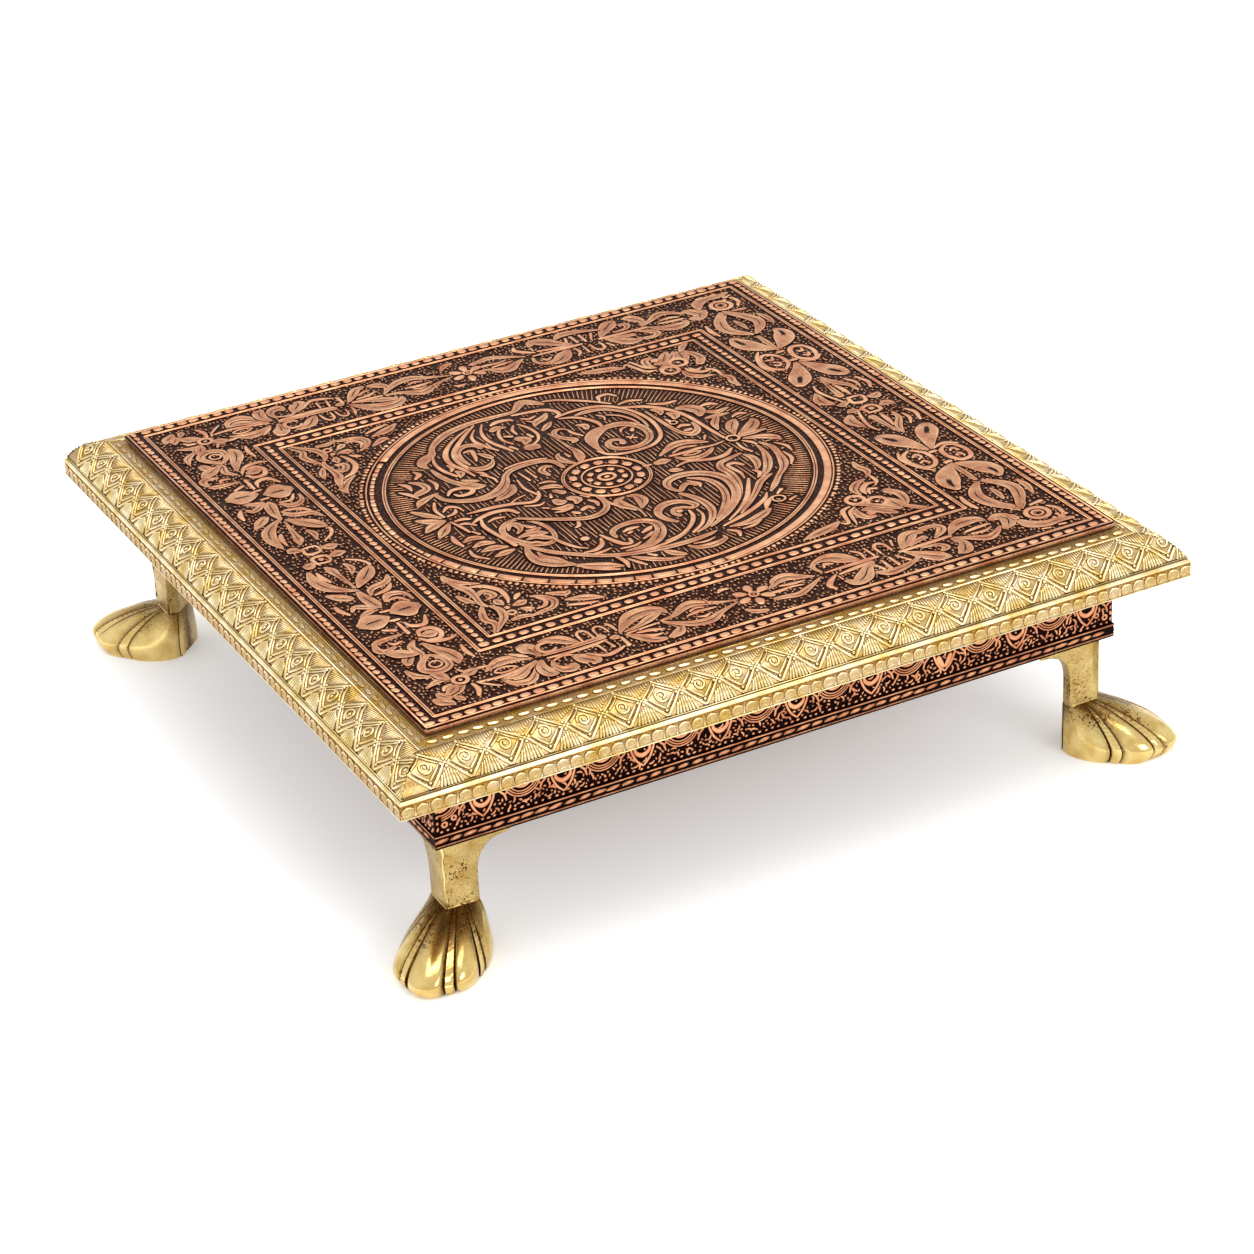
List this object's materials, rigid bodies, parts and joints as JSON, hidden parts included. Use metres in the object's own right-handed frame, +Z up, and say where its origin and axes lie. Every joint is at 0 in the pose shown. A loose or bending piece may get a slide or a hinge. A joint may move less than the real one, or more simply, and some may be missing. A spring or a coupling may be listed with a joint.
{
  "type": "bajot low table",
  "caption": "Low square table of wood clad in embossed copper and brass sheet, with a moulded edge, an apron and cast paw legs.",
  "frame": {"origin": "on the floor, under the middle of the table top", "axes": "+Z up out of the table top, -Y towards the front side of the square, which is the long visible side in the picture"},
  "size_m": [0.3066, 0.3066, 0.09],
  "materials": {
    "plate_copper": "oxidised copper with polished relief",
    "apron_copper": "oxidised copper with polished relief",
    "brass_sheet": "polished embossed sheet",
    "cast_brass": "polished casting with small pits",
    "brass_pins": "polished",
    "board_wood": "bare sawn wood",
    "hardboard": "bare hardboard",
    "steel": "zinc-plated"
  },
  "bodies": {
    "root": {"base_board": "board_wood", "plate_backing": "hardboard", "copper_plate": "plate_copper", "brass_edge_front": "brass_sheet", "apron_rail_front": "board_wood", "apron_copper_front": "apron_copper", "rail_nail_front_1": "steel", "rail_nail_front_2": "steel", "edge_pin_front_1": "brass_pins", "edge_pin_front_2": "brass_pins", "apron_pin_front_1": "brass_pins", "apron_pin_front_2": "brass_pins", "brass_edge_right": "brass_sheet", "apron_rail_right": "board_wood", "apron_copper_right": "apron_copper", "rail_nail_right_1": "steel", "rail_nail_right_2": "steel", "edge_pin_right_1": "brass_pins", "edge_pin_right_2": "brass_pins", "apron_pin_right_1": "brass_pins", "apron_pin_right_2": "brass_pins", "brass_edge_back": "brass_sheet", "apron_rail_back": "board_wood", "apron_copper_back": "apron_copper", "rail_nail_back_1": "steel", "rail_nail_back_2": "steel", "edge_pin_back_1": "brass_pins", "edge_pin_back_2": "brass_pins", "apron_pin_back_1": "brass_pins", "apron_pin_back_2": "brass_pins", "brass_edge_left": "brass_sheet", "apron_rail_left": "board_wood", "apron_copper_left": "apron_copper", "rail_nail_left_1": "steel", "rail_nail_left_2": "steel", "edge_pin_left_1": "brass_pins", "edge_pin_left_2": "brass_pins", "apron_pin_left_1": "brass_pins", "apron_pin_left_2": "brass_pins", "corner_block_front_left": "board_wood", "leg_front_left": "cast_brass", "leg_screw_front_left_1": "steel", "leg_screw_front_left_2": "steel", "leg_screw_front_left_3": "steel", "corner_block_front_right": "board_wood", "leg_front_right": "cast_brass", "leg_screw_front_right_1": "steel", "leg_screw_front_right_2": "steel", "leg_screw_front_right_3": "steel", "corner_block_back_right": "board_wood", "leg_back_right": "cast_brass", "leg_screw_back_right_1": "steel", "leg_screw_back_right_2": "steel", "leg_screw_back_right_3": "steel", "corner_block_back_left": "board_wood", "leg_back_left": "cast_brass", "leg_screw_back_left_1": "steel", "leg_screw_back_left_2": "steel", "leg_screw_back_left_3": "steel"}
  },
  "joints": []
}
